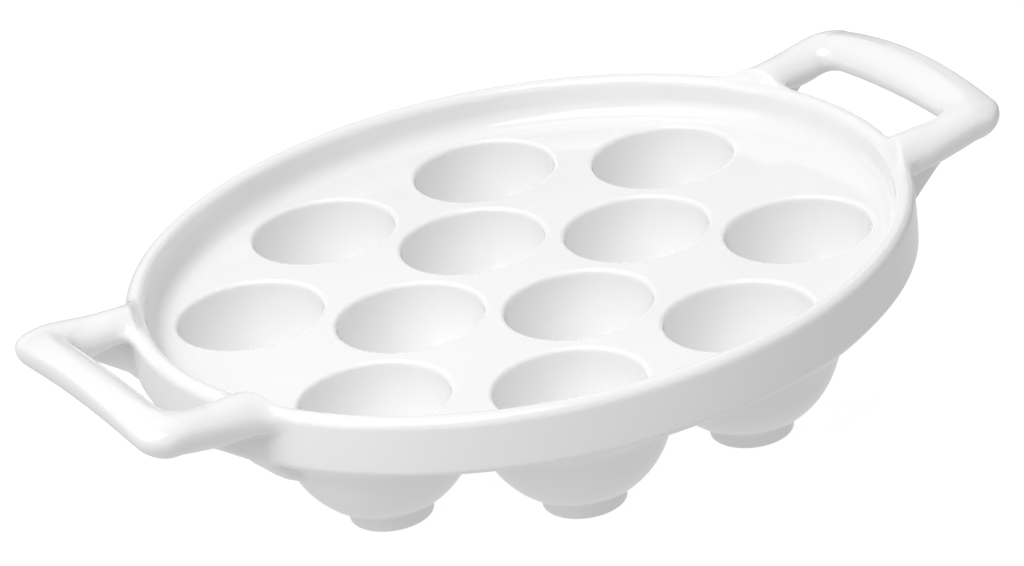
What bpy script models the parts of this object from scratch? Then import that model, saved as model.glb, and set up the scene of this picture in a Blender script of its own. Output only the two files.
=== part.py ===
"""Oval porcelain escargot dish with twelve wells and a loop handle at each end.

Metres, +Z up. The foot rings stand on Z = 0, the origin is under the middle of
the dish and the handles lie along X. The members are the clay pieces that are
luted together before the glaze firing: a slab with the well mouths, the rim on
its edge, a cup with its foot ring under each well, and the two handles.
"""
import math

import bmesh
import bpy
from mathutils import Matrix, Vector

# Wells
WELL_DIAMETER = 0.0380              # across the middle of the rounded mouth edge
WELL_DEPTH = 0.0251
WELL_LAND = 0.0038                  # deck left between two neighbouring mouths
WELL_EDGE_RADIUS = 0.0012
INNER_ANGLE = math.radians(37.0)    # from an inner end well to an inner side well
END_ANGLE = math.radians(47.4)      # from an inner end well out to the outer end wells
SIDE_ANGLE = math.radians(54.4)     # from an inner side well out to the outer side wells

# Deck and rim
DECK_THICKNESS = 0.0048
RIM_MARGIN = 0.0109                 # from the outer mouths to the rim's outer face
RIM_HEIGHT = 0.0104                 # lip above the deck
LIP_WIDTH = 0.0048
LIP_OUTER_RADIUS = 0.0018
LIP_INNER_RADIUS = 0.0014
COVE_RADIUS = 0.0048
COVE_TOE = 0.0004                   # height of the cove's edge on the deck
SKIRT_WIDTH = 0.0025                # rim that reaches down past the slab's edge
SKIRT_RADIUS = 0.0009

# Cups and foot rings
CUP_WALL = 0.0048                   # at the mouth
CUP_FLOOR = 0.0049
FLARE_RADIUS = 0.0060               # hollow curve from a cup's outside to the slab above it
FLARE_EDGE = 0.0004                 # thickness of the flare's edge
FOOT_DIAMETER = 0.0206
FOOT_BORE = 0.0150
FOOT_DROP = 0.0012                  # resting edge below the cup's lowest point
FOOT_EDGE_RADIUS = 0.0006

# Handles
HANDLE_REACH = 0.0241               # from the rim's outer face to the crossbar's far side
HANDLE_SPAN = 0.0762                # across both arms
HANDLE_OUTER_RADIUS = 0.0082        # corners of the loop, outside and inside
HANDLE_INNER_RADIUS = 0.0030
BAR_WIDTH = 0.0115
BAR_THICKNESS = 0.0084
BAR_RISE = 0.0015                   # middle of the crossbar's ends above the lip
BAR_ARCH = 0.0019                   # crossbar's upward curve
BAR_BOW = 0.0005                    # crossbar's outward curve
BAR_TILT = math.radians(15.0)       # far side of the crossbar above its near side
BAR_SQUARENESS = 2.6                # exponent of the section, 2 is an ellipse
ARM_WIDTH = 0.0123
ARM_THICKNESS = 0.0090
ROOT_RISE = 0.0022                  # top of an arm above the lip where it meets the rim
ROOT_LAP = 0.0030                   # arm that lies over the lip
GUSSET_REACH = 0.0156               # length of the hollow curve under an arm
GUSSET_HEEL = 0.0008                # lowest point of an arm above the skirt's edge

# Finish
GLAZE_WHITE = (0.90, 0.90, 0.89)
GLAZE_ROUGHNESS = 0.12
FOOT_WHITE = (0.87, 0.86, 0.84)
FOOT_ROUGHNESS = 0.45

# Fits and facets
CLEARANCE = 0.0003                  # between members that seat on each other
CUT_OVERRUN = 0.0002                # cutters past the faces that they cut
MOUTH_LEAD = math.radians(20.0)     # slope of the mouth edge where it meets the deck
WELD = 1e-6                         # points closer than this are one point
SHARP_ANGLE = math.radians(35.0)    # edges sharper than this are shaded as edges
OVAL_STEPS = 60                     # facets around the rim
WELL_STEPS = 24                     # around a mouth and a cup
FOOT_STEPS = 16
BAR_STEPS = 12                      # around a handle
ROUND_STEPS = 2                     # along a small rounded edge
COVE_STEPS = 3
BOWL_STEPS = 4                      # from a cup's floor to its top, inside and outside
SHELL_STEPS = 3
CORNER_STEPS = 4                    # around a corner of a handle
HOLLOW_SHARES = (0.0, 0.07, 0.2, 0.4, 0.7, 1.0)  # sections along the hollow under an arm
CROSSBAR_SHARES = (0.5, 0.0)        # sections from a corner to the middle of the crossbar

# Sizes that follow from the ones above
WELL_RADIUS = (WELL_DIAMETER - WELL_EDGE_RADIUS) / 2
WELL_PITCH = WELL_DIAMETER + WELL_LAND
CUP_RADIUS = WELL_DIAMETER / 2 + CUP_WALL
CUP_CENTRE_Z = FOOT_DROP + CUP_RADIUS
DECK_Z = FOOT_DROP + CUP_FLOOR + WELL_DEPTH
UNDERSIDE_Z = DECK_Z - DECK_THICKNESS
LIP_Z = DECK_Z + RIM_HEIGHT
WELL_EDGE_Z = DECK_Z - WELL_EDGE_RADIUS
WELL_BOWL_DEPTH = WELL_DEPTH - WELL_EDGE_RADIUS


def clear_scene():
    for item in list(bpy.data.objects):
        bpy.data.objects.remove(item, do_unlink=True)


def new_collection(name):
    group = bpy.data.collections.new(name)
    bpy.context.scene.collection.children.link(group)
    return group


def porcelain(name, colour, roughness):
    """A white ceramic finish."""
    finish = bpy.data.materials.new(name)
    finish.use_nodes = True
    shader = finish.node_tree.nodes["Principled BSDF"]
    shader.inputs["Base Color"].default_value = (*colour, 1.0)
    shader.inputs["Roughness"].default_value = roughness
    shader.inputs["Metallic"].default_value = 0.0
    finish.diffuse_color = (*colour, 1.0)
    return finish


def add_part(name, mesh, finish, location=(0.0, 0.0, 0.0)):
    """Puts a finished mesh in the dish as one named member."""
    part = bpy.data.objects.new(name, mesh)
    part.location = location
    part.parent = dish_origin
    if not mesh.materials:
        mesh.materials.append(finish)
    mesh.shade_smooth()
    mesh.set_sharp_from_angle(angle=SHARP_ANGLE)
    parts.objects.link(part)
    return part


def add_cutter(name, mesh, location=(0.0, 0.0, 0.0), group=None):
    cutter = bpy.data.objects.new(name, mesh)
    cutter.location = location
    cutter.hide_render = True
    cutter.display_type = "WIRE"
    (group or cutters).objects.link(cutter)
    return cutter


def baked(item):
    """The evaluated mesh of an object, welded, in place of the object."""
    bpy.context.scene.collection.objects.link(item)
    depsgraph = bpy.context.evaluated_depsgraph_get()
    mesh = bpy.data.meshes.new_from_object(item.evaluated_get(depsgraph))
    bpy.data.objects.remove(item, do_unlink=True)
    work = bmesh.new()
    work.from_mesh(mesh)
    bmesh.ops.remove_doubles(work, verts=work.verts, dist=WELD)
    work.to_mesh(mesh)
    work.free()
    return mesh


def turned(name, profile, steps, ring=False):
    """A profile of (radius, height) points turned about Z. It runs down its outer side."""
    mesh = bpy.data.meshes.new(name)
    points = [(radius, 0.0, height) for radius, height in profile]
    edges = [(i, i + 1) for i in range(len(points) - 1)]
    if ring:
        edges.append((len(points) - 1, 0))
    mesh.from_pydata(points, edges, [])
    item = bpy.data.objects.new(name, mesh)
    screw = item.modifiers.new("turn", "SCREW")
    screw.steps = steps
    screw.render_steps = steps
    screw.use_merge_vertices = True
    screw.merge_threshold = WELD
    return baked(item)


def arc(centre, radius, start, end, steps):
    """Points of a round stretch, angles in degrees."""
    angles = [math.radians(start + (end - start) * i / steps) for i in range(steps + 1)]
    return [(centre[0] + radius * math.cos(a), centre[1] + radius * math.sin(a)) for a in angles]


def flat_curve(name, outline):
    """A closed 2D curve through a list of points."""
    curve = bpy.data.curves.new(name, "CURVE")
    curve.dimensions = "2D"
    spline = curve.splines.new("POLY")
    spline.points.add(len(outline) - 1)
    for point, (x, y) in zip(spline.points, outline):
        point.co = (x, y, 0.0, 1.0)
    spline.use_cyclic_u = True
    return curve


def oval(semi_x, semi_y):
    angles = [2 * math.pi * i / OVAL_STEPS for i in range(OVAL_STEPS)]
    return [(semi_x * math.cos(a), semi_y * math.sin(a)) for a in angles]


def well_centres():
    """Four inner wells in a diamond, and eight outer wells one pitch further out."""
    inner_x = WELL_PITCH * math.cos(INNER_ANGLE)
    inner_y = WELL_PITCH * math.sin(INNER_ANGLE)
    end = (inner_x + WELL_PITCH * math.cos(END_ANGLE), WELL_PITCH * math.sin(END_ANGLE))
    side = (WELL_PITCH * math.cos(SIDE_ANGLE), inner_y + WELL_PITCH * math.sin(SIDE_ANGLE))
    centres = [(inner_x, 0.0), (-inner_x, 0.0), (0.0, inner_y), (0.0, -inner_y)]
    for x, y in (end, side):
        centres += [(x, y), (-x, y), (x, -y), (-x, -y)]
    return [Vector((x, y, 0.0)) for x, y in centres], end, side


def rim_axes(end, side):
    """Half axes of the rim: the oval through the outer wells, grown by well and margin."""
    determinant = end[0] ** 2 * side[1] ** 2 - end[1] ** 2 * side[0] ** 2
    across_x = math.sqrt(determinant / (side[1] ** 2 - end[1] ** 2))
    across_y = math.sqrt(determinant / (end[0] ** 2 - side[0] ** 2))
    growth = WELL_DIAMETER / 2 + RIM_MARGIN
    return across_x + growth, across_y + growth


def flare_reach():
    """How far a cup's flare spreads under the slab, from the middle of the well."""
    drop = CUP_CENTRE_Z - (UNDERSIDE_Z - CLEARANCE - FLARE_EDGE - FLARE_RADIUS)
    return math.sqrt((CUP_RADIUS + FLARE_RADIUS) ** 2 - drop ** 2)


def bowl_radius(height):
    """Inner radius of a well below its rounded edge."""
    return WELL_RADIUS * math.sqrt(1 - ((WELL_EDGE_Z - height) / WELL_BOWL_DEPTH) ** 2)


def well_cutter_mesh():
    top = DECK_Z + CUT_OVERRUN
    bottom = UNDERSIDE_Z - CUT_OVERRUN
    edge_centre = (WELL_RADIUS + WELL_EDGE_RADIUS, WELL_EDGE_Z)
    edge = arc(edge_centre, WELL_EDGE_RADIUS, 90.0 + math.degrees(MOUTH_LEAD), 180.0, ROUND_STEPS)
    lead = edge[0][0] + (top - edge[0][1]) / math.tan(MOUTH_LEAD)
    profile = [(0.0, top), (lead, top), *edge, (bowl_radius(bottom), bottom), (0.0, bottom)]
    return turned("well_cutter", profile, WELL_STEPS)


def add_deck():
    inset = SKIRT_WIDTH + CLEARANCE
    curve = flat_curve("deck_plate", oval(rim_x - inset, rim_y - inset))
    curve.fill_mode = "BOTH"
    curve.extrude = DECK_THICKNESS / 2
    slab = baked(bpy.data.objects.new("deck_plate", curve))
    middle = (DECK_Z + UNDERSIDE_Z) / 2
    deck = add_part("deck_plate", slab, porcelain("deck_glaze", GLAZE_WHITE, GLAZE_ROUGHNESS))
    deck.location.z = middle
    mouths = new_collection("well_cutters")
    cutter_mesh = well_cutter_mesh()
    for number, centre in enumerate(centres, 1):
        add_cutter(f"well_cutter_{number:02d}", cutter_mesh, centre, mouths)
    cut = deck.modifiers.new("wells", "BOOLEAN")
    cut.operand_type = "COLLECTION"
    cut.collection = mouths
    cut.operation = "DIFFERENCE"
    cut.solver = "EXACT"


def rim_profile():
    """Section of the rim as (distance in from the outer face, height), outer foot first."""
    seat = DECK_Z + CLEARANCE
    toe = seat + COVE_TOE
    skirt = arc((SKIRT_RADIUS, UNDERSIDE_Z + SKIRT_RADIUS), SKIRT_RADIUS, 270.0, 180.0, 1)
    lip_out = arc((LIP_OUTER_RADIUS, LIP_Z - LIP_OUTER_RADIUS), LIP_OUTER_RADIUS, 180.0, 90.0, ROUND_STEPS)
    lip_in_centre = (LIP_WIDTH - LIP_INNER_RADIUS, LIP_Z - LIP_INNER_RADIUS)
    lip_in = arc(lip_in_centre, LIP_INNER_RADIUS, 90.0, 0.0, ROUND_STEPS)
    cove = arc((LIP_WIDTH + COVE_RADIUS, toe + COVE_RADIUS), COVE_RADIUS, 180.0, 270.0, COVE_STEPS)
    rebate = [(LIP_WIDTH + COVE_RADIUS, seat), (SKIRT_WIDTH, seat), (SKIRT_WIDTH, UNDERSIDE_Z)]
    return skirt + lip_out + lip_in + cove + rebate


def add_rim():
    section = flat_curve("rim_section", rim_profile())
    section_object = bpy.data.objects.new("rim_section", section)
    path = flat_curve("rim_wall", oval(rim_x, rim_y))
    path.bevel_mode = "OBJECT"
    path.bevel_object = section_object
    wall = baked(bpy.data.objects.new("rim_wall", path))
    bpy.data.objects.remove(section_object, do_unlink=True)
    add_part("rim_wall", wall, porcelain("rim_glaze", GLAZE_WHITE, GLAZE_ROUGHNESS))


def cup_profile():
    """Section of a cup: up the bowl, out along the flare and down the outside.

    The outside is round, with a ring of points at each edge of the foot's seat.
    """
    top = UNDERSIDE_Z - CLEARANCE
    bowl_end = math.acos((WELL_EDGE_Z - top) / WELL_BOWL_DEPTH)
    bowl = [bowl_end * i / BOWL_STEPS for i in range(BOWL_STEPS + 1)]
    profile = [(WELL_RADIUS * math.sin(a), WELL_EDGE_Z - WELL_BOWL_DEPTH * math.cos(a)) for a in bowl]
    flare_z = top - FLARE_EDGE - FLARE_RADIUS
    lean = math.asin((CUP_CENTRE_Z - flare_z) / (CUP_RADIUS + FLARE_RADIUS))
    flare_centre = (flare_reach(), flare_z)
    flare = arc(flare_centre, FLARE_RADIUS, 90.0, 180.0 - math.degrees(lean), ROUND_STEPS)
    profile += [(flare_reach(), top), *flare]
    seat_start = math.asin(FOOT_BORE / 2 / CUP_RADIUS)
    seat_end = math.asin(FOOT_DIAMETER / 2 / CUP_RADIUS)
    round_end = math.pi / 2 - lean
    shell = [round_end + (seat_end - round_end) * i / SHELL_STEPS for i in range(1, SHELL_STEPS + 1)]
    for angle in shell + [seat_start, 0.0]:
        profile.append((CUP_RADIUS * math.sin(angle), CUP_CENTRE_Z - CUP_RADIUS * math.cos(angle)))
    return profile


def trim_to_neighbours(mesh, centre):
    """Cuts a cup flat where it would run into the next one."""
    work = bmesh.new()
    work.from_mesh(mesh)
    for other in centres:
        offset = other - centre
        if 0.0 < offset.length < 2 * flare_reach() + CLEARANCE:
            towards = offset.normalized()
            everything = work.verts[:] + work.edges[:] + work.faces[:]
            cut = bmesh.ops.bisect_plane(work, geom=everything, plane_no=towards, clear_outer=True,
                                         plane_co=offset / 2 - towards * CLEARANCE / 2)
            rim = [item for item in cut["geom_cut"] if isinstance(item, bmesh.types.BMEdge)]
            bmesh.ops.holes_fill(work, edges=rim)
    work.to_mesh(mesh)
    work.free()


def add_cups():
    finish = porcelain("cup_glaze", GLAZE_WHITE, GLAZE_ROUGHNESS)
    bowl = turned("cup", cup_profile(), WELL_STEPS)
    for number, centre in enumerate(centres, 1):
        mesh = bowl.copy()
        trim_to_neighbours(mesh, centre)
        add_part(f"cup_{number:02d}", mesh, finish, centre)


def under_cup(radius):
    """Height of a foot ring's top, seated under the round of the cup."""
    return CUP_CENTRE_Z - math.sqrt((CUP_RADIUS + CLEARANCE) ** 2 - radius ** 2)


def add_feet():
    outer = FOOT_DIAMETER / 2
    inner = FOOT_BORE / 2
    edge = arc((outer - FOOT_EDGE_RADIUS, FOOT_EDGE_RADIUS), FOOT_EDGE_RADIUS, 0.0, -90.0, 1)
    profile = [(outer, under_cup(outer)), *edge, (inner, 0.0), (inner, under_cup(inner))]
    ring = turned("foot_ring", profile, FOOT_STEPS, ring=True)
    finish = porcelain("foot_glaze", FOOT_WHITE, FOOT_ROUGHNESS)
    for number, centre in enumerate(centres, 1):
        add_part(f"foot_ring_{number:02d}", ring, finish, centre)


def bar_section(outer, inner, middle, tilt, lower, upper):
    """Rounded section of a handle between a point on its outer and its inner outline.

    The tilt lifts the outer side. The two halves of the section have their own heights.
    """
    centre = (outer + inner) / 2
    reach = (outer - inner) / 2
    points = []
    for i in range(BAR_STEPS):
        angle = 2 * math.pi * i / BAR_STEPS
        side = math.copysign(abs(math.cos(angle)) ** (2 / BAR_SQUARENESS), math.cos(angle))
        rise = math.copysign(abs(math.sin(angle)) ** (2 / BAR_SQUARENESS), math.sin(angle))
        height = middle + tilt * side + rise * (upper if rise > 0.0 else lower)
        points.append(centre + reach * side + Vector((0.0, 0.0, height)))
    return points


def rim_x_at(y):
    """Where the rim's outer face is, at a distance from the long axis."""
    return rim_x * math.sqrt(1 - (y / rim_y) ** 2)


def arm_sections(far_outer, far_inner):
    """Sections of one arm, from over the lip to where the corner starts.

    The hollow curve under the arm is a quarter oval that drops to the heel at the wall.
    """
    outer_root = rim_x_at(far_outer.y)
    inner_root = rim_x_at(far_inner.y)
    length = (far_outer.x + far_inner.x - outer_root - inner_root) / 2
    hollow = min(GUSSET_REACH, length)
    half = ARM_THICKNESS / 2
    root_middle = LIP_Z + ROOT_RISE - half
    heel_drop = root_middle - half - UNDERSIDE_Z - GUSSET_HEEL
    sections = []
    for along in [-ROOT_LAP] + [share * hollow for share in HOLLOW_SHARES]:
        share = along / length
        outer = Vector((outer_root + (far_outer.x - outer_root) * share, far_outer.y, 0.0))
        inner = Vector((inner_root + (far_inner.x - inner_root) * share, far_inner.y, 0.0))
        middle = root_middle + (LIP_Z + BAR_RISE - root_middle) * share
        closeness = 1 - max(along, 0.0) / hollow
        drop = heel_drop * (1 - math.sqrt(1 - closeness ** 2))
        sections.append(bar_section(outer, inner, middle, 0.0, half + drop, half))
    return sections


def half_handle():
    """Sections of half a handle, from the lip to the middle of the crossbar."""
    outer_y = HANDLE_SPAN / 2
    inner_y = outer_y - ARM_WIDTH
    outer_x = rim_x + HANDLE_REACH - BAR_BOW
    inner_x = outer_x - BAR_WIDTH
    outer_centre = Vector((outer_x - HANDLE_OUTER_RADIUS, outer_y - HANDLE_OUTER_RADIUS, 0.0))
    inner_centre = Vector((inner_x - HANDLE_INNER_RADIUS, inner_y - HANDLE_INNER_RADIUS, 0.0))
    middle = LIP_Z + BAR_RISE
    tilt = math.tan(BAR_TILT) * BAR_WIDTH / 2
    sections = arm_sections(Vector((outer_centre.x, outer_y, 0.0)), Vector((inner_centre.x, inner_y, 0.0)))
    for i in range(CORNER_STEPS + 1):
        turn = math.pi / 2 * i / CORNER_STEPS
        spoke = Vector((math.sin(turn), math.cos(turn), 0.0))
        share = math.sin(turn) ** 2
        half = (ARM_THICKNESS + (BAR_THICKNESS - ARM_THICKNESS) * share) / 2
        sections.append(bar_section(outer_centre + spoke * HANDLE_OUTER_RADIUS,
                                    inner_centre + spoke * HANDLE_INNER_RADIUS,
                                    middle, tilt * share, half, half))
    for share in CROSSBAR_SHARES:
        swell = 1 - share ** 2
        outer = Vector((outer_x + BAR_BOW * swell, outer_centre.y * share, 0.0))
        inner = Vector((inner_x + BAR_BOW * swell, inner_centre.y * share, 0.0))
        half = BAR_THICKNESS / 2
        sections.append(bar_section(outer, inner, middle + BAR_ARCH * swell, tilt, half, half))
    return sections


def handle_mesh(name):
    """Loft through the sections of both halves of a handle."""
    half = half_handle()
    mirrored = [[Vector((x, -y, z)) for x, y, z in section] for section in half[-2::-1]]
    work = bmesh.new()
    rings = [[work.verts.new(point) for point in section] for section in half + mirrored]
    for ring, following in zip(rings, rings[1:]):
        for i in range(BAR_STEPS):
            k = (i + 1) % BAR_STEPS
            work.faces.new((ring[i], ring[k], following[k], following[i]))
    work.faces.new(rings[0])
    work.faces.new(rings[-1])
    bmesh.ops.recalc_face_normals(work, faces=work.faces)
    mesh = bpy.data.meshes.new(name)
    work.to_mesh(mesh)
    work.free()
    return mesh


def rim_drum():
    """Solid of the rim's outer face and lip, grown by the clearance, that trims the arms."""
    low = UNDERSIDE_Z - BAR_THICKNESS
    high = LIP_Z + CLEARANCE
    work = bmesh.new()
    size = Matrix.Diagonal((rim_x + CLEARANCE, rim_y + CLEARANCE, high - low, 1.0))
    place = Matrix.Translation((0.0, 0.0, (low + high) / 2))
    bmesh.ops.create_cone(work, cap_ends=True, segments=OVAL_STEPS, radius1=1.0, radius2=1.0,
                          depth=1.0, matrix=place @ size)
    mesh = bpy.data.meshes.new("rim_drum")
    work.to_mesh(mesh)
    work.free()
    drum = add_cutter("rim_drum", mesh)
    edge = drum.modifiers.new("lip", "BEVEL")
    edge.width = LIP_OUTER_RADIUS + CLEARANCE
    edge.segments = ROUND_STEPS
    edge.limit_method = "ANGLE"
    edge.angle_limit = SHARP_ANGLE
    return drum


def add_handles():
    finish = porcelain("handle_glaze", GLAZE_WHITE, GLAZE_ROUGHNESS)
    drum = rim_drum()
    for name, turn in (("handle_right", 0.0), ("handle_left", math.pi)):
        handle = add_part(name, handle_mesh(name), finish)
        handle.rotation_euler.z = turn
        seat = handle.modifiers.new("seat", "BOOLEAN")
        seat.object = drum
        seat.operation = "DIFFERENCE"
        seat.solver = "EXACT"


clear_scene()
parts = new_collection("escargot_dish")
cutters = new_collection("cutters")
dish_origin = bpy.data.objects.new("dish_origin", None)
parts.objects.link(dish_origin)
centres, end_well, side_well = well_centres()
rim_x, rim_y = rim_axes(end_well, side_well)

add_deck()
add_rim()
add_cups()
add_feet()
add_handles()
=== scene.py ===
import math

import bpy
from mathutils import Matrix, Vector


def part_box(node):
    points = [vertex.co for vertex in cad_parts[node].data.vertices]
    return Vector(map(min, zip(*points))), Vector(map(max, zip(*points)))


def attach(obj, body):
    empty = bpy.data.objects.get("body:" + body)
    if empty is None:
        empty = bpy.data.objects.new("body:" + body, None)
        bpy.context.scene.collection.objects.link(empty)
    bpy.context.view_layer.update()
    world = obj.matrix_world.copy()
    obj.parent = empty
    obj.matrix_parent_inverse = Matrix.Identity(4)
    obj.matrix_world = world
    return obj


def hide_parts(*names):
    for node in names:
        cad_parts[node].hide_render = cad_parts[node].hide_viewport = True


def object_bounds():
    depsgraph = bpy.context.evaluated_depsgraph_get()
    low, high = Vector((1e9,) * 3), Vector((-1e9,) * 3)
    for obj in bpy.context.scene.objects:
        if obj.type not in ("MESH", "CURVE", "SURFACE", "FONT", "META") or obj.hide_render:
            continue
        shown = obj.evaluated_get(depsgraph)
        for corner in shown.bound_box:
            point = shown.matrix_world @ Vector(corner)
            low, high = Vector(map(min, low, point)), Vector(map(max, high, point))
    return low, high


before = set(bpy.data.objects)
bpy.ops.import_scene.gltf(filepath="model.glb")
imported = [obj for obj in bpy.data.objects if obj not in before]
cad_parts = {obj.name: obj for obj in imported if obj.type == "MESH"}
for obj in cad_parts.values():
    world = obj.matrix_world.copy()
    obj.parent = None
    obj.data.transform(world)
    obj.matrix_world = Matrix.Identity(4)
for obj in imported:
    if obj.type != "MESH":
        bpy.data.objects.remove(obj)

MM = 0.001
UP = Vector((0.0, 0.0, 1.0))
CAD_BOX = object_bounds()
RIM_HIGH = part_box("rim_wall")[1]
DECK_LOW, DECK_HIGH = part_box("deck_plate")
HANDLE_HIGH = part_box("handle_right")[1]
FEET = sorted(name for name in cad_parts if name.startswith("foot_ring"))
GLAZED = sorted(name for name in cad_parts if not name.startswith("foot_ring"))

# The body's sizes. Those of the rim, the deck and the handles' reach come from the solids.
HANDLE_BOW = 0.5 * MM
SIZES = {
    "Rim half length": RIM_HIGH.x,
    "Rim half width": RIM_HIGH.y,
    "Deck height": DECK_HIGH.z,
    "Underside height": DECK_LOW.z,
    "Lip height": RIM_HIGH.z,
    "Lip width": 4.8 * MM,
    "Lip outer radius": 2.4 * MM,
    "Lip inner radius": 2.3 * MM,
    "Cove radius": 4.8 * MM,
    "Skirt radius": 2.0 * MM,
    "Belly height": 37.0 * MM,
    "Belly radius": 240.0 * MM,
    "Well radius": 18.4 * MM,
    "Well depth": 23.9 * MM,
    "Well edge radius": 1.2 * MM,
    "Cup radius": 23.8 * MM,
    "Cup centre height": 25.0 * MM,
    "Cup blend": 8.0 * MM,
    "Flare blend": 13.0 * MM,
    "Handle end": HANDLE_HIGH.x - HANDLE_BOW,
    "Handle half span": HANDLE_HIGH.y,
    "Handle outer radius": 7.6 * MM,
    "Handle inner radius": 3.0 * MM,
    "Arm width": 12.3 * MM,
    "Arm half height": 4.5 * MM,
    "Arm depth": 5.6 * MM,
    "Arm inner depth": 4.8 * MM,
    "Arm root depth": 4.0 * MM,
    "Arm root height": 39.3 * MM,
    "Arm squareness": 2.0,
    "Corner depth": 3.6 * MM,
    "Corner slope": math.tan(math.radians(6.0)),
    "Crossbar width": 11.9 * MM,
    "Crossbar half height": 4.0 * MM,
    "Crossbar depth": 5.0 * MM,
    "Crossbar height": 42.9 * MM,
    "Crossbar arch": 2.25 * MM,
    "Crossbar bow": HANDLE_BOW,
    "Crossbar slope": math.tan(math.radians(14.0)),
    "Crossbar squareness": 2.6,
    "Inner top squareness": 4.5,
    "Inner crown": 1.1 * MM,
    "Side change": 3.0 * MM,
    "Root lap": 2.0 * MM,
    "Root blend": 7.0 * MM,
    "Root blend below": 2.6 * MM,
    "Root swell": 1.1 * MM,
    "Root swell reach": 11.0 * MM,
    "Root slope": math.tan(math.radians(9.0)),
    "Web half width": 1.4 * MM,
    "Web spread": 1.4 * MM,
    "Web reach": 15.6 * MM,
    "Web drop": 7.9 * MM,
    "Web drop reach": 13.0 * MM,
    "Web fall": 3.1 * MM,
    "Web fall start": 1.5 * MM,
    "Web fall run": 6.0 * MM,
    "Web edge radius": 1.3 * MM,
    "Web blend": 1.5 * MM,
    "Web roof": 2.0 * MM,
    "Web lap": 10.5 * MM,
}
LAP_BLEND = 3.0 * MM
BLEND_EASE_LOW = 34.0 * MM
BLEND_EASE_HIGH = 41.0 * MM
BLEND_EASE_IN = 4.6 * MM
BLEND_EASE_WIDTH = 3.0 * MM
LEAST_BLEND = 0.05 * MM
WEB_FULL_AT = 0.33
WEB_TOP_SHARE = 0.6
LEAST_SLOPE = 0.01

# The skin that is drawn round the body.
SKIN_MARGIN = 1.2 * MM
SKIN_STEP = 0.55 * MM
SKIN_TRIANGLES = 195000
FEEL_STEP = 0.08 * MM
NEIGHBOURS = 6.0
SETTLE_TURNS = 2
TRUE_WITHIN = math.cos(math.radians(1.0))
FLAT_BEYOND = math.cos(math.radians(3.5))
DECK_FLAT = math.cos(math.radians(0.25))

# The foot rings, turned from one outline.
FOOT_RADIUS = 10.3 * MM
FOOT_BORE = 7.5 * MM
FOOT_EDGE = 0.6 * MM
BORE_EDGE = 0.5 * MM
FLARE_RADIUS = 0.7 * MM
FLARE_HEIGHT = 3.11 * MM
FLARE_START = 116.0
BORE_FLARE_RADIUS = 0.5 * MM
BORE_FLARE_HEIGHT = 1.73 * MM
BORE_FLARE_END = 106.0
BURIED_INNER = (7.4 * MM, 3.0 * MM)
BURIED_OUTER = (9.2 * MM, 4.0 * MM)
FOOT_STEPS = 96
CORNER_STEPS = 6

NEAR_AXIS = 0.1 * MM
MIRROR_X = (-1.0, 1.0, 1.0)
MIRROR_Y = (1.0, -1.0, 1.0)
NO_MIRROR = (1.0, 1.0, 1.0)


class Wire:
    """A socket that carries a value. Sums on wires add Math nodes."""

    def __init__(self, bench, socket):
        self.bench = bench
        self.socket = socket

    def math(self, operation, *others):
        return self.bench.node("ShaderNodeMath", {"operation": operation}, [self, *others])

    def __add__(self, other):
        return self.math("ADD", other)

    def __radd__(self, other):
        return self.math("ADD", other)

    def __sub__(self, other):
        return self.math("SUBTRACT", other)

    def __rsub__(self, other):
        return self.bench.node("ShaderNodeMath", {"operation": "SUBTRACT"}, [other, self])

    def __mul__(self, other):
        return self.math("MULTIPLY", other)

    def __rmul__(self, other):
        return self.math("MULTIPLY", other)

    def __truediv__(self, other):
        return self.math("DIVIDE", other)

    def __rtruediv__(self, other):
        return self.bench.node("ShaderNodeMath", {"operation": "DIVIDE"}, [other, self])

    def __pow__(self, other):
        return self.math("POWER", other)

    def __neg__(self):
        return self.math("MULTIPLY", -1.0)

    def __abs__(self):
        return self.math("ABSOLUTE")

    def least(self, other):
        return self.math("MINIMUM", other)

    def most(self, other):
        return self.math("MAXIMUM", other)

    def soft_least(self, other, blend):
        return self.math("SMOOTH_MIN", other, blend)

    def soft_most(self, other, blend):
        return self.math("SMOOTH_MAX", other, blend)

    def root(self):
        return self.math("SQRT")

    def held(self):
        return self.most(0.0).least(1.0)

    def vector(self, operation, *others, output=0):
        return self.bench.node("ShaderNodeVectorMath", {"operation": operation}, [self, *others], output)

    def scaled(self, share):
        sockets = {"Vector": self, "Scale": share}
        return self.bench.node("ShaderNodeVectorMath", {"operation": "SCALE"}, sockets)

    def part(self, axis):
        return self.bench.node("ShaderNodeSeparateXYZ", None, [self], axis)


class Bench:
    """A node tree that nodes are added to."""

    def __init__(self, tree):
        self.tree = tree

    def node(self, kind, settings=None, sockets=(), output=0):
        item = self.tree.nodes.new(kind)
        for name, value in (settings or {}).items():
            setattr(item, name, value)
        pairs = sockets.items() if isinstance(sockets, dict) else enumerate(sockets)
        for key, value in pairs:
            if isinstance(value, Wire):
                self.tree.links.new(value.socket, item.inputs[key])
            else:
                item.inputs[key].default_value = value
        return Wire(self, item.outputs[output]) if item.outputs else item


# A Mix node's two inputs and its output, for each kind of value.
MIX_SOCKETS = {"RGBA": (6, 7, 2), "VECTOR": (4, 5, 1)}


def mixed(bench, share, one, other, kind="RGBA"):
    first, second, output = MIX_SOCKETS[kind]
    sockets = {0: share, first: one, second: other}
    return bench.node("ShaderNodeMix", {"data_type": kind}, sockets, output)


def new_tree(name, inputs, output):
    """A node tree with named inputs and one output: its bench, and the wires of its inputs."""
    tree = bpy.data.node_groups.new(name, "GeometryNodeTree")
    label, kind = output
    tree.interface.new_socket(label, in_out="OUTPUT", socket_type="NodeSocket" + kind)
    for label, kind in inputs.items():
        tree.interface.new_socket(label, in_out="INPUT", socket_type="NodeSocket" + kind)
    bench = Bench(tree)
    entry = tree.nodes.new("NodeGroupInput")
    return bench, {socket.name: Wire(bench, socket) for socket in entry.outputs if socket.name}


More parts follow.
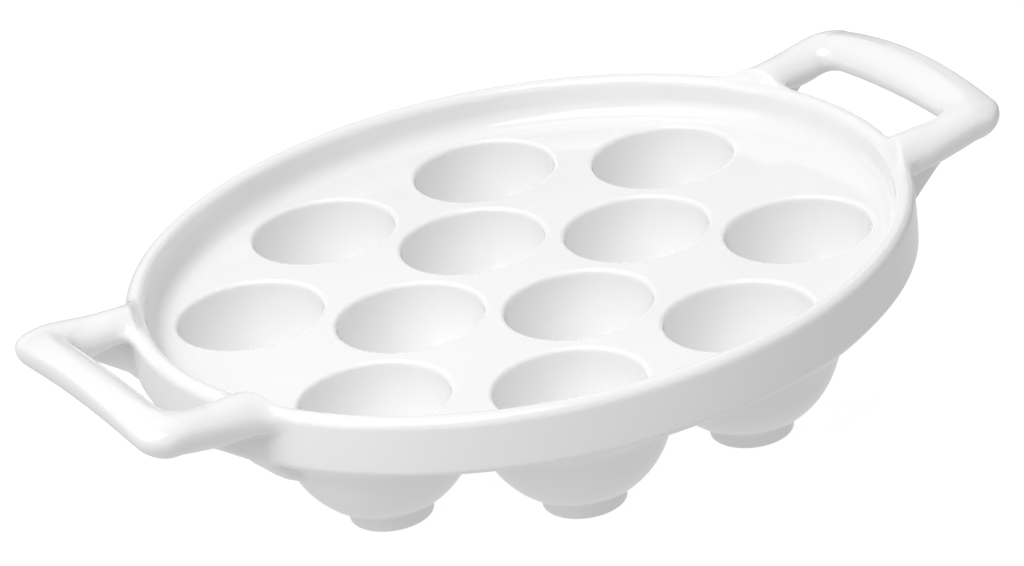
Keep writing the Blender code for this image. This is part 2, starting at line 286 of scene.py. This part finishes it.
def set_inputs(modifier, values):
    """Sets a tree's inputs on its modifier by each socket's identifier."""
    for socket in modifier.node_group.interface.items_tree:
        if socket.in_out == "INPUT" and socket.name in values:
            modifier[socket.identifier] = values[socket.name]


def run_trees(mesh, steps):
    """Runs modifiers on a mesh and gives the plain mesh that comes out.

    A step is a tree and its inputs. A step without a tree thins the mesh to a share of its faces.
    """
    item = bpy.data.objects.new("blank", mesh)
    bpy.context.scene.collection.objects.link(item)
    for tree, values in steps:
        if tree is None:
            thin = item.modifiers.new("thin", "DECIMATE")
            thin.ratio = values
            continue
        modifier = item.modifiers.new(tree.name, "NODES")
        modifier.node_group = tree
        set_inputs(modifier, values)
    graph = bpy.context.evaluated_depsgraph_get()
    result = bpy.data.meshes.new_from_object(item.evaluated_get(graph))
    bpy.data.objects.remove(item, do_unlink=True)
    bpy.data.meshes.remove(mesh)
    return result


def piece(name, mesh):
    """A finished mesh as an object of the scene."""
    item = bpy.data.objects.new(name, mesh)
    mesh.name = name
    bpy.context.scene.collection.objects.link(item)
    return item


def foot_centre(name):
    low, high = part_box(name)
    return Vector(((low.x + high.x) / 2, (low.y + high.y) / 2, 0.0))


def quarter_wells():
    """The wells of one quarter of the dish, named by their place. Mirroring gives the other three."""
    centres = [foot_centre(name) for name in FEET]
    quarter = [centre for centre in centres if centre.x > -NEAR_AXIS and centre.y > -NEAR_AXIS]
    quarter.sort(key=lambda centre: math.atan2(centre.y, centre.x))
    names = ("Inner end well", "Outer end well", "Outer side well", "Inner side well")
    return {name: centre.to_tuple() for name, centre in zip(names, quarter)}


WELLS = quarter_wells()
FIELD_INPUTS = {**{name: "Vector" for name in WELLS}, **{name: "Float" for name in SIZES}}


# The body's form, as the distance from a point to its surface.
def between(one, other, share):
    """A value that is a share of the way from one to another."""
    return one + (other - one) * share


def round_union(one, other, radius):
    """Two forms joined, with a round fillet between them."""
    reach = ((radius - one).most(0.0) ** 2.0 + (radius - other).most(0.0) ** 2.0).root()
    return one.least(other).most(radius) - reach


def round_overlap(one, other, radius):
    """What two forms share, with a round edge where they meet."""
    reach = ((radius + one).most(0.0) ** 2.0 + (radius + other).most(0.0) ** 2.0).root()
    return one.most(other).least(-1.0 * radius) + reach


def body_field():
    """A group that gives the distance from a point to the glazed body's surface, below zero inside."""
    bench, size = new_tree("body_field", {"Point": "Vector", **FIELD_INPUTS}, ("Distance", "Float"))
    quarter_point = size["Point"].vector("ABSOLUTE")
    x, y = quarter_point.part(0), quarter_point.part(1)
    z = size["Point"].part(2)
    outside = oval_distance(x, y, size)
    dish = dish_form(bench, quarter_point, z, outside, size)
    handle = handle_form(x, y, z, outside, size)
    bench.node("NodeGroupOutput", None, [dish.soft_least(handle, root_blend(z, outside, size))])
    return bench.tree


def root_blend(z, outside, size):
    """How softly a handle runs into the dish: less under the arms, and hardly at all inside the lip."""
    upward = ((z - BLEND_EASE_LOW) / (BLEND_EASE_HIGH - BLEND_EASE_LOW)).held()
    outward = ((outside + BLEND_EASE_IN) / BLEND_EASE_WIDTH).held()
    under = (1.0 - (z - size["Underside height"]) / size["Web roof"]).held()
    blend = between(size["Root blend below"], size["Root blend"], upward)
    return blend * outward.most(under) + LEAST_BLEND


def oval_distance(x, y, size):
    """How far a point is outside the rim's oval."""
    length, width = size["Rim half length"], size["Rim half width"]
    along, across = x / length, y / width
    reach = (along * along + across * across).root()
    slope = ((along / length) ** 2.0 + (across / width) ** 2.0 + LEAST_SLOPE).root()
    return reach * (reach - 1.0) / slope


def dish_form(bench, point, z, outside, size):
    """The tray with its rim, the cups under it and the wells sunk in it."""
    wall = round_overlap(-outside - size["Lip width"], z - size["Lip height"], size["Lip inner radius"])
    top = round_union(z - size["Deck height"], wall, size["Cove radius"])
    drop = z - size["Belly height"]
    belly = outside + drop * drop / (2.0 * size["Belly radius"])
    tray = round_overlap(top, belly, size["Lip outer radius"])
    under = (size["Underside height"] - z).soft_least(cups_form(bench, point, size), size["Flare blend"])
    tray = round_overlap(tray, under, size["Skirt radius"])
    return round_overlap(tray, -wells_form(bench, point, size), size["Well edge radius"])


def raised(bench, place, height):
    return place.vector("ADD", bench.node("ShaderNodeCombineXYZ", None, {"Z": height}))


def cups_form(bench, point, size):
    """The cups' round outsides, each running into the next."""
    blend = size["Cup blend"]

    def away(name, mirror=NO_MIRROR):
        middle = raised(bench, size[name].vector("MULTIPLY", mirror), size["Cup centre height"])
        return point.vector("DISTANCE", middle, output="Value")

    outer_side = away("Outer side well").soft_least(away("Outer side well", MIRROR_X), blend)
    inner_side = away("Inner side well").soft_least(away("Inner side well", MIRROR_Y), blend)
    outer_end = away("Outer end well").soft_least(away("Outer end well", MIRROR_Y), blend)
    sides = outer_side.soft_least(inner_side, blend)
    ends = away("Inner end well").soft_least(outer_end, blend)
    return sides.soft_least(ends, blend) - size["Cup radius"]


def wells_form(bench, point, size):
    """The wells' hollows: half of an egg shape under the deck."""
    radius = size["Well radius"]
    spread = bench.node("ShaderNodeCombineXYZ", None, [radius, radius, size["Well depth"]])
    nearest = None
    for name in WELLS:
        middle = raised(bench, size[name], size["Deck height"] - size["Well edge radius"])
        reach = point.vector("SUBTRACT", middle).vector("DIVIDE", spread).vector("LENGTH", output="Value")
        nearest = reach if nearest is None else nearest.least(reach)
    return (nearest - 1.0) * radius


def handle_form(x, y, z, outside, size):
    """A loop handle: two arms, an arched crossbar between them, and a thin web under each arm.

    The web runs on below the wall into the cup behind it.
    """
    outer = size["Handle outer radius"]
    turn = ((x - (size["Handle end"] - outer)) / outer).held() ** 2.0
    crest = (1.0 - (y / (size["Handle half span"] - outer)) ** 2.0).most(0.0)
    past_root = (outside / size["Root swell reach"]).held()
    root = (1.0 - past_root * past_root) ** 2.0
    half = between(size["Arm half height"], size["Crossbar half height"], turn)
    past_outer, past_inner = handle_plan(x, y, crest, size)
    sideways = (past_outer + past_inner) / 2.0
    above = z - handle_height(x, outside, sideways, crest, turn, root, size)
    across = abs(sideways) / (past_inner - past_outer) * 2.0
    bar = bar_form(across, above, sideways, half, crest, turn, root, size)
    web = web_form(above, sideways, outside, half, size)
    loop = (bar * half).soft_least(web, size["Web blend"])
    loop = loop.soft_most(-outside - size["Root lap"], LAP_BLEND)
    under_wall = z - size["Underside height"] - size["Web roof"]
    return loop.least(web.most(under_wall).most(-outside - size["Web lap"]))


def rounded_end(x, y, radius):
    """How far a point is outside a flat end with one rounded corner."""
    corner = (x.most(0.0) ** 2.0 + y.most(0.0) ** 2.0).root()
    return corner + x.most(y).least(0.0) - radius


def handle_plan(x, y, crest, size):
    """The loop from above: how far a point is outside its outer and its inner outline."""
    outer, inner = size["Handle outer radius"], size["Handle inner radius"]
    span, end = size["Handle half span"], size["Handle end"]
    bowed = x - size["Crossbar bow"] * crest
    past_outer = rounded_end(bowed - (end - outer), y - (span - outer), outer)
    inner_end = end - size["Crossbar width"] - inner
    past_inner = rounded_end(bowed - inner_end, y - (span - size["Arm width"] - inner), inner)
    return past_outer, past_inner


def handle_height(x, outside, sideways, crest, turn, root, size):
    """The height of the loop's middle: it climbs along the arms, and the crossbar is arched and tilted."""
    outer, inner, end = size["Handle outer radius"], size["Handle inner radius"], size["Handle end"]
    along = (outside / (end - outer / 2.0 - size["Rim half length"])).held()
    barward = ((x - (end - size["Crossbar width"] - inner)) / inner).held()
    climb = between(size["Arm root height"], size["Crossbar height"], along)
    slope = between(size["Corner slope"], size["Crossbar slope"], crest)
    middle = climb + size["Crossbar arch"] * barward * crest + slope * turn * sideways
    return middle - size["Root slope"] * root * sideways


def bar_form(across, above, sideways, half, crest, turn, root, size):
    """The loop's section: round on the arms, squarer on the crossbar and fullest on its inner top."""
    inward = (0.5 - sideways / size["Side change"]).held()
    upward = (above / size["Side change"]).held()
    arm_depth = between(size["Arm depth"], size["Arm inner depth"], inward)
    arm_depth = arm_depth + (size["Arm root depth"] - size["Arm depth"]) * root
    bar_depth = between(size["Corner depth"], size["Crossbar depth"], crest)
    depth = between(arm_depth, bar_depth, turn)
    crown = half + size["Root swell"] * root + size["Inner crown"] * turn * inward
    fuller = size["Inner top squareness"] - size["Crossbar squareness"]
    bar_power = size["Crossbar squareness"] + fuller * inward * upward
    power = between(size["Arm squareness"], bar_power, turn)
    rise = above.most(0.0) / crown + (-above).most(0.0) / depth
    return (across ** power + rise ** power) ** (1.0 / power) - 1.0


def web_form(above, sideways, outside, half, size):
    """The web under an arm: a thin plate with a round lower edge. It deepens towards the wall."""
    remaining = 1.0 - outside / size["Web reach"]
    top = half * WEB_TOP_SHARE
    drop = size["Web drop"] * (1.0 - outside / size["Web drop reach"]).most(0.0)
    drop = drop + size["Web fall"] * ((size["Web fall start"] - outside) / size["Web fall run"]).held()
    depth = top + (half - top + drop) * (remaining / WEB_FULL_AT).held()
    width = size["Web half width"] + size["Web spread"] * remaining.held() ** 2.0
    web = round_overlap(abs(sideways) - width, -above - depth, size["Web edge radius"])
    return web.most(above - top)


# The skin round the form.
def field_at(bench, field, point, size):
    values = {name: size[name] for name in FIELD_INPUTS}
    return bench.node("GeometryNodeGroup", {"node_tree": field}, {"Point": point, **values})


def finish_tree(bench, form, finish):
    """Ends a tree with a plain, dressed mesh."""
    whole = bench.node("GeometryNodeRealizeInstances", None, [form])
    dressed = bench.node("GeometryNodeSetMaterial", None, {"Geometry": whole, "Material": finish})
    bench.node("NodeGroupOutput", None, [dressed])


def skin_tree(field):
    """Draws a skin round the body's field."""
    steps = {"Steps " + axis: "Int" for axis in "XYZ"}
    corners = {"Low corner": "Vector", "High corner": "Vector"}
    inputs = {**FIELD_INPUTS, **corners, **steps, "Finish": "Material"}
    bench, size = new_tree("body_skin", inputs, ("Geometry", "Geometry"))
    here = bench.node("GeometryNodeInputPosition")
    cloud = bench.node("GeometryNodeVolumeCube", None, {
        "Density": -field_at(bench, field, here, size), "Background": -1.0,
        "Min": size["Low corner"], "Max": size["High corner"],
        "Resolution X": size["Steps X"], "Resolution Y": size["Steps Y"], "Resolution Z": size["Steps Z"]})
    limits = {"Volume": cloud, "Threshold": 0.0, "Adaptivity": 0.0}
    skin = bench.node("GeometryNodeVolumeToMesh", None, limits)
    finish_tree(bench, skin, size["Finish"])
    return bench.tree


def settle_tree(field):
    """Moves a skin onto the body's true surface, and keeps the surface's direction and turn at each point."""
    inputs = {"Geometry": "Geometry", **FIELD_INPUTS, "Finish": "Material"}
    bench, size = new_tree("body_settle", inputs, ("Geometry", "Geometry"))
    here = bench.node("GeometryNodeInputPosition")
    middle = field_at(bench, field, here, size)
    slopes = []
    spread = -NEIGHBOURS * middle
    for axis in range(3):
        step = [FEEL_STEP if axis == other else 0.0 for other in range(3)]
        ahead = field_at(bench, field, here.vector("ADD", step), size)
        behind = field_at(bench, field, here.vector("SUBTRACT", step), size)
        slopes.append((ahead - behind) / (2.0 * FEEL_STEP))
        spread = spread + ahead + behind
    slope = bench.node("ShaderNodeCombineXYZ", None, slopes)
    steepness = slope.vector("DOT_PRODUCT", slope, output="Value").most(LEAST_SLOPE)
    shift = slope.scaled(-middle / steepness)
    form = bench.node("GeometryNodeSetPosition", None, {"Geometry": size["Geometry"], "Offset": shift})
    keeps = (("glaze_normal", "FLOAT_VECTOR", calm_normal(bench, slope.vector("NORMALIZE"))),
             ("glaze_turn", "FLOAT", spread / FEEL_STEP ** 2 / steepness.root()))
    for name, kind, value in keeps:
        form = bench.node("GeometryNodeStoreNamedAttribute", {"data_type": kind, "domain": "POINT"},
                          {"Geometry": form, "Name": name, "Value": value})
    finish_tree(bench, bench.node("GeometryNodeSetShadeSmooth", None, {"Geometry": form}), size["Finish"])
    return bench.tree


def calm_normal(bench, true):
    """The true normal, or the broad faces' normal where a broad flat face ends on a tight curve."""
    facing = bench.node("GeometryNodeInputNormal")
    area = bench.node("GeometryNodeInputMeshFaceArea")
    weighed = facing.scaled(area * area / MM ** 2)
    on_faces = {"data_type": "FLOAT_VECTOR", "domain": "FACE"}
    broad = bench.node("GeometryNodeFieldOnDomain", on_faces, [weighed]).vector("NORMALIZE")
    agree = true.vector("DOT_PRODUCT", broad, output="Value")
    share = ((TRUE_WITHIN - agree) / (TRUE_WITHIN - FLAT_BEYOND)).held()
    return mixed(bench, share, true, broad, "VECTOR").vector("NORMALIZE")


def glazed_body(finish):
    """The body's mesh, with its true normals and straight ones on the flat of the deck."""
    field = body_field()
    skin, settle = skin_tree(field), settle_tree(field)
    values = {**WELLS, **SIZES, "Finish": finish}
    margin = Vector((SKIN_MARGIN,) * 3)
    low, high = Vector(CAD_BOX[0]) - margin, Vector(CAD_BOX[1]) + margin
    counts = {"Steps " + axis: round((high[i] - low[i]) / SKIN_STEP) for i, axis in enumerate("XYZ")}
    corners = {"Low corner": low.to_tuple(), "High corner": high.to_tuple()}
    mesh = run_trees(bpy.data.meshes.new("glazed_body"), [(skin, {**values, **counts, **corners})])
    triangles = sum(len(face.vertices) - 2 for face in mesh.polygons)
    steps = [(settle, values)] * SETTLE_TURNS
    if triangles > SKIN_TRIANGLES:
        steps = steps + [(None, SKIN_TRIANGLES / triangles)] + steps
    mesh = run_trees(mesh, steps)
    true = [item.vector.copy() for item in mesh.attributes["glaze_normal"].data]
    normals = [None] * len(mesh.loops)
    for face in mesh.polygons:
        flat = face.normal.z > DECK_FLAT
        for corner, point in zip(face.loop_indices, face.vertices):
            normals[corner] = UP if flat else true[point]
    mesh.normals_split_custom_set(normals)
    mesh.attributes.remove(mesh.attributes["glaze_normal"])
    return piece("glazed_body", mesh)


# The foot rings.
def arc(centre, radius, start, end):
    """Points on an arc, its angles in degrees."""
    angles = [math.radians(start + (end - start) * i / CORNER_STEPS) for i in range(CORNER_STEPS + 1)]
    return [(centre[0] + radius * math.cos(a), centre[1] + radius * math.sin(a)) for a in angles]


def foot_outline():
    """The outline that a foot ring is turned from: radius and height, round the ring once."""
    outer_flare = arc((FOOT_RADIUS + FLARE_RADIUS, FLARE_HEIGHT), FLARE_RADIUS, FLARE_START, 180.0)
    outer_edge = arc((FOOT_RADIUS - FOOT_EDGE, FOOT_EDGE), FOOT_EDGE, 0.0, -90.0)
    bore_edge = arc((FOOT_BORE + BORE_EDGE, BORE_EDGE), BORE_EDGE, -90.0, -180.0)
    bore_centre = (FOOT_BORE - BORE_FLARE_RADIUS, BORE_FLARE_HEIGHT)
    bore_flare = arc(bore_centre, BORE_FLARE_RADIUS, 0.0, BORE_FLARE_END)
    return outer_flare + outer_edge + bore_edge + bore_flare + [BURIED_INNER, BURIED_OUTER]


def foot_tree():
    """Turns the outline into a ring and sets one under each well."""
    spots = {name: "Vector" for name in FEET}
    inputs = {"Geometry": "Geometry", "Turns": "Int", **spots, "Finish": "Material"}
    bench, size = new_tree("foot_row", inputs, ("Geometry", "Geometry"))
    outline = bench.node("GeometryNodeMeshToCurve", None, [size["Geometry"]])
    round_path = {"Resolution": size["Turns"], "Radius": FOOT_RADIUS}
    path = bench.node("GeometryNodeCurvePrimitiveCircle", None, round_path)
    ring = bench.node("GeometryNodeCurveToMesh", None, {"Curve": path, "Profile Curve": outline})
    row = bench.tree.nodes.new("GeometryNodeJoinGeometry")
    for name in FEET:
        spot = bench.node("GeometryNodePoints", None, {"Count": 1, "Position": size[name]})
        bench.tree.links.new(spot.socket, row.inputs[0])
    points = Wire(bench, row.outputs[0])
    rings = bench.node("GeometryNodeInstanceOnPoints", None, {"Points": points, "Instance": ring})
    whole = bench.node("GeometryNodeRealizeInstances", None, [rings])
    finish_tree(bench, bench.node("GeometryNodeSetShadeSmooth", None, [whole]), size["Finish"])
    return bench.tree


def foot_rings(finish):
    outline = [(radius - FOOT_RADIUS, -height, 0.0) for radius, height in foot_outline()]
    count = len(outline)
    mesh = bpy.data.meshes.new("foot_outline")
    mesh.from_pydata(outline, [(i, (i + 1) % count) for i in range(count)], [])
    spots = {name: foot_centre(name).to_tuple() for name in FEET}
    values = {"Turns": FOOT_STEPS, **spots, "Finish": finish}
    return piece("foot_rings", run_trees(mesh, [(foot_tree(), values)]))


# Finishes. Patterns are in marks to the metre, and the glaze's turn is its curvature.
GLAZE_WHITE = (0.875, 0.875, 0.872, 1.0)
GLAZE_SHADE = (0.850, 0.851, 0.852, 1.0)
GLAZE_POOLED = (0.835, 0.842, 0.848, 1.0)
GLAZE_THIN = (0.895, 0.893, 0.885, 1.0)
SPECK = (0.58, 0.56, 0.53, 1.0)
BISCUIT = (0.78, 0.765, 0.74, 1.0)
BISCUIT_RUB = (0.62, 0.61, 0.60, 1.0)

GLAZE_CLOUDS = 16.0
GLAZE_CLOUD_RANGE = (0.35, 0.68)
GLAZE_RIPPLES = 95.0
GLAZE_RIPPLE_STRENGTH = 0.06
GLAZE_RIPPLE_DEPTH = 0.4 * MM
GLAZE_PITS = 900.0
GLAZE_PIT_SHARE = 0.04
POOLED_TURN = (80.0, 450.0)
POOLED_SHARE = 0.7
THIN_TURN = (150.0, 900.0)
THIN_SHARE = 0.6
SPECK_CELLS = 70.0
SPECK_SIZE = (0.012, 0.02)
SPECK_PICK = (0.9, 0.92)
SPECK_SHARE = 0.45
GLAZE_ROUGHNESS = 0.09
GLAZE_ROUGH_CLOUD = 0.05
GLAZE_ROUGH_PITS = 0.03
GLAZE_COAT = 0.35
GLAZE_GLOSS = {"IOR": 1.5, "Coat Roughness": 0.03, "Coat IOR": 1.5}

FOOT_CLOUDS = 40.0
FOOT_GRAIN = 2400.0
FOOT_GRAIN_STRENGTH = 0.25
FOOT_GRAIN_DEPTH = 0.05 * MM
BARE_HEIGHT = (0.15 * MM, 0.35 * MM)
BARE_WAVER = 0.5 * MM
BARE_ROUGHNESS = 0.55
FOOT_ROUGHNESS = 0.11
FOOT_ROUGH_CLOUD = 0.05
RUB_MARKS = 260.0
RUB_RANGE = (0.5, 0.72)
RUB_SHARE = 0.7


def new_finish(name):
    finish = bpy.data.materials.new(name)
    finish.use_nodes = True
    finish.node_tree.nodes.clear()
    return finish, Bench(finish.node_tree)


def object_place(bench):
    return bench.node("ShaderNodeTexCoord", None, (), "Object")


def noise(bench, place, scale, detail):
    return bench.node("ShaderNodeTexNoise", None, {"Vector": place, "Scale": scale, "Detail": detail})


def eased(bench, value, low, high):
    """0 below low, 1 above high, with a smooth change between them."""
    smooth = {"interpolation_type": "SMOOTHSTEP"}
    return bench.node("ShaderNodeMapRange", smooth, [value, low, high, 0.0, 1.0])


def bumped(bench, height, strength, depth):
    return bench.node("ShaderNodeBump", None, {"Strength": strength, "Distance": depth, "Height": height})


def surface(bench, sockets):
    shader = bench.node("ShaderNodeBsdfPrincipled", None, sockets)
    bench.node("ShaderNodeOutputMaterial", None, [shader])


def speck_mask(bench, place):
    """A few fine specks, each in its own cell."""
    cells = bench.node("ShaderNodeTexVoronoi", None, {"Vector": place, "Scale": SPECK_CELLS}, "Distance")
    pick = Wire(bench, cells.socket.node.outputs["Color"]).part(0)
    return (1.0 - eased(bench, cells, *SPECK_SIZE)) * eased(bench, pick, *SPECK_PICK)


def white_glaze():
    """A clear gloss glaze: pooled in the hollows, thin on the edges, with a faint ripple and a few specks."""
    finish, bench = new_finish("white_glaze")
    place = object_place(bench)
    cloud = noise(bench, place, GLAZE_CLOUDS, detail=3.0)
    ripple = noise(bench, place, GLAZE_RIPPLES, detail=1.0)
    pits = noise(bench, place, GLAZE_PITS, detail=2.0)
    turn = bench.node("ShaderNodeAttribute", {"attribute_name": "glaze_turn"}, (), "Fac")
    pooled = eased(bench, -turn, *POOLED_TURN) * POOLED_SHARE
    thin = eased(bench, turn, *THIN_TURN) * THIN_SHARE
    colour = mixed(bench, eased(bench, cloud, *GLAZE_CLOUD_RANGE), GLAZE_WHITE, GLAZE_SHADE)
    colour = mixed(bench, pooled, colour, GLAZE_POOLED)
    colour = mixed(bench, thin, colour, GLAZE_THIN)
    colour = mixed(bench, speck_mask(bench, place) * SPECK_SHARE, colour, SPECK)
    rough = GLAZE_ROUGHNESS + GLAZE_ROUGH_CLOUD * cloud + GLAZE_ROUGH_PITS * pits
    bump = bumped(bench, ripple + GLAZE_PIT_SHARE * pits, GLAZE_RIPPLE_STRENGTH, GLAZE_RIPPLE_DEPTH)
    surface(bench, {"Base Color": colour, "Roughness": rough, "Normal": bump,
                    "Coat Weight": GLAZE_COAT, **GLAZE_GLOSS})
    return finish


def foot_porcelain():
    """Glaze on the ring's sides and bare fired clay on the edge that it stands on."""
    finish, bench = new_finish("foot_porcelain")
    place = object_place(bench)
    cloud = noise(bench, place, FOOT_CLOUDS, detail=3.0)
    grain = noise(bench, place, FOOT_GRAIN, detail=2.0)
    bare = 1.0 - eased(bench, place.part(2) + BARE_WAVER * (cloud - 0.5), *BARE_HEIGHT)
    rub = eased(bench, noise(bench, place, RUB_MARKS, detail=3.0), *RUB_RANGE) * RUB_SHARE
    clay = mixed(bench, rub, BISCUIT, BISCUIT_RUB)
    colour = mixed(bench, bare, mixed(bench, cloud, GLAZE_WHITE, GLAZE_SHADE), clay)
    rough = FOOT_ROUGHNESS + BARE_ROUGHNESS * bare + FOOT_ROUGH_CLOUD * cloud
    coat = GLAZE_COAT * (1.0 - bare)
    bump = bumped(bench, grain * bare, FOOT_GRAIN_STRENGTH, FOOT_GRAIN_DEPTH)
    surface(bench, {"Base Color": colour, "Roughness": rough, "Normal": bump,
                    "Coat Weight": coat, **GLAZE_GLOSS})
    return finish


# The stage: a pale table, soft light and the camera.
WHITE = (1.0, 1.0, 1.0, 1.0)
TABLE_HALF = 4.0
TABLE_DROP = 0.05 * MM
TABLE_GLOW = 0.85
TABLE_ROUGHNESS = 0.9
TABLE_COLOUR = (0.3, 0.3, 0.3, 1.0)
ROOM_LIGHT = 0.35
LIGHT_DISTANCE = 1.4
LIGHT_SIDE = 1.1

AZIMUTH = math.radians(-28.22)
ELEVATION = math.radians(25.97)
ROLL = math.radians(-8.16)
RIGHTWARD = Vector((math.cos(AZIMUTH), math.sin(AZIMUTH), 0.0))
FRONTWARD = Vector((math.sin(AZIMUTH), -math.cos(AZIMUTH), 0.0))
CAMERA_DISTANCE = 1145.32 * MM
CAMERA_SIDE = 3.116 * MM
CAMERA_RISE = 2.888 * MM
AIM = Vector((0.0, 0.0, DECK_HIGH.z))
SENSOR = 36.0
LENS = 161.94


def camera_axes():
    """The camera's right, up and backward directions."""
    back = FRONTWARD * math.cos(ELEVATION) + UP * math.sin(ELEVATION)
    level_up = back.cross(RIGHTWARD)
    right = RIGHTWARD * math.cos(ROLL) + level_up * math.sin(ROLL)
    up = level_up * math.cos(ROLL) - RIGHTWARD * math.sin(ROLL)
    return right, up, back


def set_camera():
    right, up, back = camera_axes()
    place = AIM + back * CAMERA_DISTANCE - right * CAMERA_SIDE - up * CAMERA_RISE
    data = bpy.data.cameras.new("camera")
    data.sensor_width = SENSOR
    data.lens = LENS
    camera = bpy.data.objects.new("camera", data)
    camera.matrix_world = Matrix.Translation(place) @ Matrix((right, up, back)).transposed().to_4x4()
    bpy.context.scene.collection.objects.link(camera)
    bpy.context.scene.camera = camera


def set_table():
    """A pale table that glows like a light table, and takes no shadow."""
    finish, bench = new_finish("pale_table")
    surface(bench, {"Base Color": TABLE_COLOUR, "Roughness": TABLE_ROUGHNESS, "Specular IOR Level": 0.0,
                    "Emission Color": WHITE, "Emission Strength": TABLE_GLOW})
    ends = ((-1, -1), (1, -1), (1, 1), (-1, 1))
    corners = [(x * TABLE_HALF, y * TABLE_HALF, -TABLE_DROP) for x, y in ends]
    mesh = bpy.data.meshes.new("table")
    mesh.from_pydata(corners, [], [(0, 1, 2, 3)])
    mesh.materials.append(finish)
    table = piece("table", mesh)
    table.visible_diffuse = False
    table.visible_glossy = False
    table.visible_shadow = False


def soft_light(name, direction, brightness, distance=LIGHT_DISTANCE, side=LIGHT_SIDE, mirrored=True):
    """A square soft light that faces the dish. Its brightness is what a white card close to it shows."""
    data = bpy.data.lights.new(name, "AREA")
    data.shape = "SQUARE"
    data.size = side
    data.energy = brightness * math.pi * side * side
    light = bpy.data.objects.new(name, data)
    towards = direction.normalized()
    light.location = AIM + towards * distance
    light.rotation_euler = towards.to_track_quat("Z", "Y").to_euler()
    light.visible_glossy = mirrored
    bpy.context.scene.collection.objects.link(light)


def set_lights():
    room = bpy.data.worlds.new("room")
    bpy.context.scene.world = room
    room.use_nodes = True
    backdrop = room.node_tree.nodes["Background"]
    backdrop.inputs["Color"].default_value = WHITE
    backdrop.inputs["Strength"].default_value = ROOM_LIGHT
    right, front = RIGHTWARD, FRONTWARD
    soft_light("key_light", -0.35 * right + 0.35 * front + UP, brightness=4.4, distance=1.5)
    soft_light("left_light", -0.8 * right + 0.45 * front + 0.9 * UP, brightness=0.44)
    soft_light("low_left_light", -0.9 * right + 0.5 * front + 0.3 * UP, brightness=0.62, side=1.0)
    soft_light("low_front_light", front + 0.05 * UP, brightness=0.42)
    soft_light("right_light", right + 0.6 * UP, brightness=0.33)
    soft_light("back_light", -front + 0.4 * UP, brightness=2.3, mirrored=False)
    soft_light("table_light", -UP, brightness=0.34, distance=0.5, side=4.0)
    bpy.context.scene.view_settings.view_transform = "Standard"


set_camera()
set_table()
set_lights()
body = glazed_body(white_glaze())
feet = foot_rings(foot_porcelain())
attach(body, "root")
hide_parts(*GLAZED)
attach(feet, "root")
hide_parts(*FEET)
